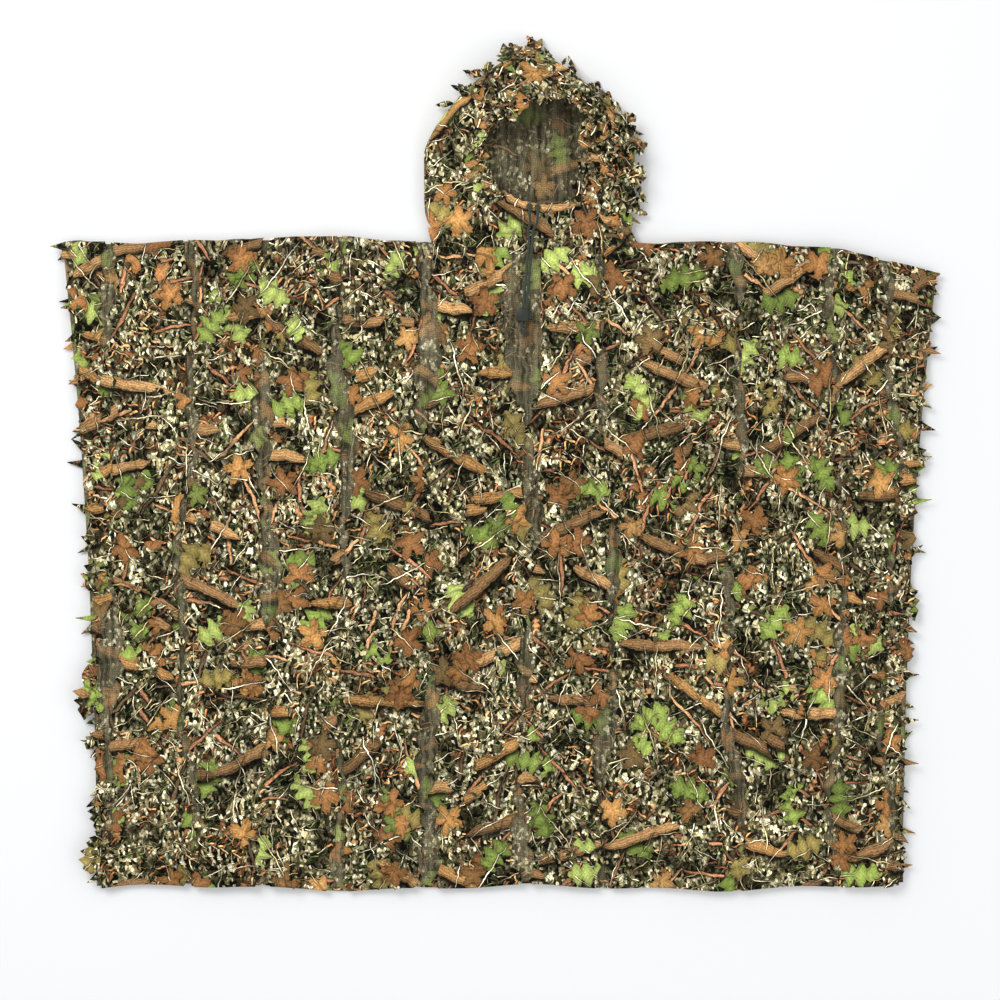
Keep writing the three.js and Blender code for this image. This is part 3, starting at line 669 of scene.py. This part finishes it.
def strip_piece(cad_name, piece_name, on_front, seed):
    """A strip over its CAD solid, as one mesh: the ribbon and its tongues."""
    draw = random.Random(seed)
    low, high = (np.array(c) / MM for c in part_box(cad_name))
    tooth = 10.0
    first, last = low[0] < -600, high[0] > 600
    rows = np.linspace(low[1], panel_top_y, int((panel_top_y - low[1]) / row_step) + 1)
    over = np.array((0.35, 0.65, 0.87, 0.97, 1.0)) if on_front else np.array((0.4,))
    rows = np.concatenate([rows, panel_top_y + (turn_depth + 1.6) * over])
    phases = [draw.uniform(0, 6.28) for _ in range(6)]
    sway = [11 * np.sin(rows / 118 + phases[k]) + 7 * np.sin(rows / 41 + phases[k + 2]) for k in (0, 1)]
    left = (-side_edge(rows) if first else low[0] + tooth - 5 + sway[0]) - leaf_edge(rows, 14, draw)
    right = (side_edge(rows) if last else high[0] - tooth + 5 + sway[1]) + leaf_edge(rows, 14, draw)
    left, right = left + (8 if first else 0), right - (8 if last else 0)
    if on_front:
        narrowing = 17 * np.clip((channel_low_y - rows) / 50, 0, 1)
        left = left - (narrowing if 0 < low[0] < 80 else 0)
        right = right + (narrowing if 0 < high[0] < 30 else 0)
    columns = max(7, int((high[0] - low[0]) / column_step) + 1)
    edge_lift = [2.6 + 2.0 * np.sin(rows / 47 + phases[4]), 2.6 + 2.0 * np.sin(rows / 39 + phases[5])]
    shift = np.array((draw.uniform(-900, 900), draw.uniform(-900, 900)))

    def level(x, y, up=1.6):
        if on_front:
            top = front_level(x, np.minimum(y, panel_top_y)) + up
            top = top + 1.3 * np.sin(x / 11 + phases[0]) * np.sin(y / 17 + phases[1])
            under = (front_level(x, panel_top_y) + back_level(x, panel_top_y)) / 2
            past = np.clip((y - panel_top_y) / (turn_depth + 1.6), 0, 1)
            past = past * ((x < neck_low_x) | (x > neck_high_x))
            return under + (top - under) * np.sqrt(1 - past ** 2)
        return back_level(x, y) - 1.4 - 0.25 * up

    verts, uvs = [], []
    for i, y in enumerate(rows):
        share = np.linspace(0, 1, columns)
        x = left[i] + (right[i] - left[i]) * share
        y_line = y + 1.5 * np.sin(x / 19 + phases[2]) if i else np.full(columns, low[1])
        side = np.abs(2 * share - 1)
        lift = np.where(share < 0.5, edge_lift[0][i], edge_lift[1][i])
        lift = lift * np.clip((side - 0.45) / 0.55, 0, 1) ** 2
        z = level(x, y_line) + (lift if on_front else -0.15 * lift)
        verts += list(map(tuple, np.stack([x, y_line, z], 1)))
        uvs += list(map(tuple, np.stack([x + shift[0], y_line + shift[1]], 1)))
    faces = grid_faces(len(rows), columns)
    rise = 1.0 if on_front else 0.12
    for row_y in np.arange(low[1] + 34, panel_top_y + 10, 33):
        i = min(len(rows) - 1, int((row_y - low[1]) / row_step))
        width = right[i] - left[i]
        count = max(1, round(width / 38))
        for k in range(count):
            if draw.random() < 0.3:
                continue
            x = left[i] + 14 + (width - 28) * (k + draw.uniform(0.2, 0.8)) / count
            y = row_y + draw.uniform(-14, 14)
            outwards = max(-1, min(1, 2 * (x - (left[i] + right[i]) / 2) / width))
            way = math.radians(-90 - 20 * outwards + draw.uniform(-30, 30))
            long = draw.uniform(34, 56)
            if y - long * 0.9 < low[1] and math.sin(way) < 0:
                way = math.radians(draw.choice((12, 168)) + draw.uniform(-20, 20))
            outline = draw.choice((oak_outline, maple_outline, blade_outline, oak_outline))
            wide = long * (0.5 if outline is blade_outline else 0.78) * draw.uniform(0.85, 1.15)
            stray = draw.choice((0, 0, 0, 60))
            patch = shift + np.array((draw.uniform(-stray, stray), draw.uniform(-stray, stray)))
            lift = draw.uniform(1.0, 6.5) * rise
            curl = draw.uniform(-1.2, 1.6) * rise
            add_tongue(verts, uvs, faces, np.array((x, y)), way, long, wide,
                       lambda a, b: level(a, b) + (1.3 if on_front else -0.4),
                       lift if on_front else -lift, curl, outline, patch)
    for y in np.arange(low[1] + 20, panel_top_y, 62) if first or last else ():
        y += draw.uniform(-16, 16)
        outward = math.pi if first else 0
        way = outward + draw.uniform(-0.7, 0.7)
        root = np.array(((-1 if first else 1) * (side_edge(y) - 14), y))
        patch = shift + np.array((draw.uniform(-90, 90), draw.uniform(-90, 90)))
        add_tongue(verts, uvs, faces, root, way, draw.uniform(22, 38), draw.uniform(9, 18),
                   lambda a, b: level(a, b) + (1.5 if on_front else 0.2),
                   draw.uniform(0, 5) * rise, 0, spike_outline, patch)
    verts = np.array(verts)
    verts[:, 1] = np.maximum(verts[:, 1], low[1] - 4)
    if on_front:
        beside_cord = (verts[:, 1] > channel_low_y - 5) & (verts[:, 0] > channel_low_x - 60)
        beside_cord &= verts[:, 0] < channel_high_x + 60
        if cad_name.endswith("06"):
            verts[beside_cord, 0] = np.minimum(verts[beside_cord, 0], channel_low_x)
        if cad_name.endswith("07"):
            verts[beside_cord, 0] = np.maximum(verts[beside_cord, 0], channel_high_x)
    at_neck = (verts[:, 0] > neck_low_x - 4) & (verts[:, 0] < neck_high_x + 4)
    verts[at_neck, 1] = np.minimum(verts[at_neck, 1], panel_top_y + 4)
    verts[:, 1] = settle(verts[:, 0], verts[:, 1])
    verts[:, 2] = np.maximum(verts[:, 2], 0.5)
    if not on_front:
        faces = [face[::-1] for face in faces]
    piece = make_mesh(piece_name, verts, faces, uvs, leaf_cloth, 0.7)
    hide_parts(cad_name)
    sign = -1 if low[0] < 0 else 1
    if np.min(sign * verts[:, 0]) * MM < fold_band[1] and np.max(sign * verts[:, 0]) * MM > fold_band[0]:
        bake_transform(piece)
    else:
        body = "left_wing" if high[0] < -fold_x + 12 else "right_wing" if low[0] > fold_x - 12 else "torso"
        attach(piece, body)
    return piece


for number in range(1, 12):
    strip_piece(f"front_leaf_strip_{number:02d}", f"front_leaf_cloth_{number:02d}", True, 40 + number)
    strip_piece(f"back_leaf_strip_{number:02d}", f"back_leaf_cloth_{number:02d}", False, 80 + number)

# Hood: three panels of the printed cloth sewn into a bowl. It lies on its back with its face opening up;
# its sides stand up slack, and the mesh lining shows inside.
hood_low = np.min([np.array(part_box(f"hood_{n}_panel")[0]) for n in ("left", "center", "right")], axis=0) / MM
hood_high = np.max([np.array(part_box(f"hood_{n}_panel")[1]) for n in ("left", "center", "right")], axis=0) / MM
hood_x = (hood_low[0] + hood_high[0]) / 2
hood_half = (hood_high[0] - hood_low[0]) / 2
widest_y = shoulder_y + 132
face_x, face_y = 67.0, shoulder_y + 131
face_half_x, face_half_y = 97.0, 82.0
chin_z, crown_z = 28.0, 72.0
widest_z = 16.0
turn_under = 34.0


def hood_outline(angle, inset):
    c, s = math.cos(angle), math.sin(angle)
    power = 2 / (1.4 if s > 0 else 8 if c < 0 else 4.5)
    length = (hood_high[1] - widest_y if s > 0 else widest_y - hood_low[1]) - inset
    return np.array((hood_x + math.copysign(abs(c) ** power, c) * (hood_half - inset),
                     widest_y + math.copysign(abs(s) ** power, s) * length))


def face_outline(angle, grow):
    return np.array((face_x + (face_half_x + grow) * math.cos(angle),
                     face_y + (face_half_y + grow) * math.sin(angle)))


def rim_z(angle):
    return chin_z + (crown_z - chin_z) * (1 + math.sin(angle)) / 2


def hood_point(angle, bend):
    """A point of the hood: bend 0 at the rim, 1 at its widest line, 2 where it lies on the floor."""
    swing = bend * math.pi / 2
    reach = math.sin(swing)
    edge = hood_outline(angle, 1.0)
    if bend <= 1:
        rim = face_outline(angle, 6.0)
        gather = 2.2 * math.sin(31 * angle) * (1 - bend) ** 2 * min(1, bend * 6 + 0.2)
        slump = 5.0 * math.sin(3 * angle + 1) * math.sin(math.pi * bend)
        slump += 2.4 * math.sin(9 * angle + 4 * bend) * bend * (1 - bend) * 3
        z = widest_z + (rim_z(angle) + gather - widest_z) * math.cos(swing) + slump
        return np.array((*(rim + (edge - rim) * reach), z))
    base = hood_outline(angle, turn_under)
    return np.array((*(base + (edge - base) * reach), 1.2 + (widest_z - 1.2) * (1 + math.cos(swing))))


hood_turns = 180
upper_bends = np.linspace(0, 1, 19)
under_bends = np.linspace(1, 2, 9)
closing_shares = np.linspace(1, 0.01, 18)[1:]


def hood_skin(name, rings, material, thick):
    """Cloth over rings that go outwards. Its UVs are its place from above, let out where it is steep by
    the length that this hides. The innermost ring is closed where it is small."""
    rings = np.array(rings)
    count = rings.shape[1]
    away = rings[:, :, :2] - np.array((hood_x, widest_y))
    steps = np.diff(rings, axis=0)
    hidden = np.linalg.norm(steps, axis=2) - np.linalg.norm(steps[:, :, :2], axis=2)
    hidden = np.vstack([np.zeros(count), np.cumsum(hidden, axis=0)])
    ways = away[-1] / np.linalg.norm(away[-1], axis=1)[:, None]
    uvs = rings[:, :, :2] + hidden[:, :, None] * ways[None, :, :]
    faces = []
    for i in range(len(rings) - 1):
        for k in range(count):
            n = (k + 1) % count
            faces.append((i * count + k, (i + 1) * count + k, (i + 1) * count + n, i * count + n))
    if np.abs(away[0]).max() < 10:
        faces.append(tuple(range(count)))
    return make_mesh(name, rings.reshape(-1, 3), faces, uvs.reshape(-1, 2), material, thick)


angles = [2 * math.pi * k / hood_turns for k in range(hood_turns)]
upper_rings = [[hood_point(a, b) for a in angles] for b in upper_bends]
hood_upper = hood_skin("hood_cloth", upper_rings, leaf_cloth, 0.9)
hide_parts("hood_left_panel", "hood_right_panel")
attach(hood_upper, "hood")

floor_rings = [[hood_point(a, b) for a in angles] for b in under_bends]
base_ring = floor_rings[-1]
middle = np.array((hood_x, widest_y, 1.4))
for share in closing_shares:
    ring = []
    for p in base_ring:
        place = middle + (p - middle) * share
        inside = 1 - share ** 2
        place[2] += 9 * inside + 3.0 * inside * math.sin(place[0] / 7.5 + place[1] / 60)
        ring.append(place)
    floor_rings.append(ring)
hood_back = hood_skin("hood_back_cloth", floor_rings[::-1], mesh_cloth, 0.9)
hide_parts("hood_center_panel")
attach(hood_back, "hood")

# Hood trims: leaf tongues sewn round the face opening and over the crown, in three lengths. The rows at
# the rim turn inwards over the face opening.
trim_rows = ((0.84, 9, 1), (0.55, 12, 1), (0.28, 11, 1), (0.13, 7.5, -1), (0.05, 9, -1))
rim_lengths = {"right": (38, 58), "crown": (26, 42), "left": (18, 30)}
for name, first, last, seed in (("right", -50, 38, 5), ("crown", 38, 135, 6), ("left", 135, 232, 7)):
    draw = random.Random(seed)
    verts, uvs, faces = [], [], []
    shift = np.array((draw.uniform(-900, 900), draw.uniform(-900, 900)))
    for bend, spacing, way_out in trim_rows:
        for degrees in np.arange(first, last, spacing):
            if way_out > 0 and name == "left" and 145 < degrees < 235:
                continue
            angle = math.radians(degrees + draw.uniform(-3, 3))
            long = draw.uniform(24, 42)
            if way_out < 0:
                drawn = [draw.uniform(*limits) for limits in rim_lengths.values()]
                long = dict(zip(rim_lengths, drawn))[name]
            outline = draw.choice((oak_outline, maple_outline, blade_outline))
            wide = long * (draw.uniform(0.3, 0.5) if bend > 0.8 else draw.uniform(0.55, 0.85))
            start = len(verts)
            root = hood_point(angle, bend)
            ahead = hood_point(angle, min(1.0, bend + 0.12)) - hood_point(angle, max(0, bend - 0.12))
            ahead *= way_out
            if bend > 0.8:
                ahead[2] *= 0.25
            ahead /= np.linalg.norm(ahead)
            along = hood_point(angle + 0.02, bend) - root
            along /= np.linalg.norm(along)
            up = np.cross(ahead, along) * way_out
            up = up if up[2] > 0 else -up
            twist = draw.uniform(-0.6, 0.6)
            forward = ahead * math.cos(twist) + along * math.sin(twist)
            across = np.cross(up, forward)
            lift = draw.uniform(3, 8)
            patch = shift + np.array((draw.uniform(-90, 90), draw.uniform(-90, 90)))
            for i, half in enumerate(outline):
                share = i / (len(outline) - 1)
                for c in tongue_columns:
                    sag = 0.35 * long * share ** 2 * (1 if way_out > 0 else 0.4)
                    point = root + forward * long * share + across * c * half * wide / 2
                    point = point + up * (1.6 + lift * share) - np.array((0, 0, sag * 0.6))
                    verts.append(point)
                    uvs.append((point[0] + patch[0], point[1] + patch[1]))
            for face in grid_faces(len(outline), len(tongue_columns)):
                faces.append(tuple(start + k for k in face)[::-1])
    verts = np.array(verts)
    verts[:, 2] = np.maximum(verts[:, 2], 1.0)
    trim = make_mesh(f"hood_trim_{name}", verts, faces, uvs, leaf_cloth, 0.7)
    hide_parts(f"hood_leaf_trim_{name}")
    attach(trim, "hood")

# Rim casing: the turned edge of the face opening, drawn up on its cord, so it is puckered all round.
casing_line = []
for a in angles:
    point = face_outline(a, 0)
    casing_line.append((point[0], point[1], rim_z(a)))
casing_sides = 12
verts, uvs, faces = [], [], []
for k, (a, point) in enumerate(zip(angles, casing_line)):
    out = face_outline(a, 10) - face_outline(a, 0)
    out /= np.linalg.norm(out)
    pucker = 1 + 0.13 * math.sin(46 * a) + 0.07 * math.sin(17 * a + 1)
    for s in range(casing_sides):
        turn = 2 * math.pi * s / casing_sides
        reach, rise = 6.6 * pucker * math.cos(turn), 5.4 * pucker * math.sin(turn)
        verts.append((point[0] + out[0] * reach, point[1] + out[1] * reach, point[2] + rise))
        uvs.append((a * 90, 6.6 * turn))
for k in range(hood_turns):
    for s in range(casing_sides):
        ring, next_ring = k * casing_sides, (k + 1) % hood_turns * casing_sides
        n = (s + 1) % casing_sides
        faces.append((ring + s, next_ring + s, next_ring + n, ring + n))
casing = make_mesh("rim_casing", verts, faces, uvs, leaf_cloth)
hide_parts("hood_rim_casing")
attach(casing, "hood")

# Neck: a short tube of cloth that joins the hood to the neckline of the two panels.
neck_rows = 12
neck_turns = 96
verts, uvs, faces = [], [], []
for i in range(neck_rows):
    share = i / (neck_rows - 1)
    y = panel_top_y - 6 + share * 40
    half = (neck_high_x - neck_low_x) / 2 + 3 + 14 * share ** 0.7
    middle_x = (neck_low_x + neck_high_x) / 2 + (hood_x - (neck_low_x + neck_high_x) / 2) * share
    for k in range(neck_turns):
        turn = 2 * math.pi * k / neck_turns
        c, s = math.cos(turn), math.sin(turn)
        x = middle_x + half * math.copysign(abs(c) ** 0.45, c)
        top = float(front_level(x, min(y, panel_top_y))) + 1.2
        under = float(back_level(x, min(y, panel_top_y))) - 1.0
        top = top * (1 - share) + 20.0 * share
        under = under * (1 - share) + 1.4 * share
        z = (top + under) / 2 + (top - under) / 2 * math.copysign(abs(s) ** 0.6, s)
        z += 0.5 * math.sin(x / 9) * s
        verts.append((x, y, z))
        uvs.append((x + (0 if s >= 0 else 700), y))
for i in range(neck_rows - 1):
    for k in range(neck_turns):
        n = (k + 1) % neck_turns
        row, next_row = i * neck_turns, (i + 1) * neck_turns
        faces.append((next_row + k, next_row + n, row + n, row + k))
neck = make_mesh("neck_cloth", verts, faces, uvs, leaf_cloth, 0.9)
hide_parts("neck_band_front", "neck_band_back")
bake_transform(neck)
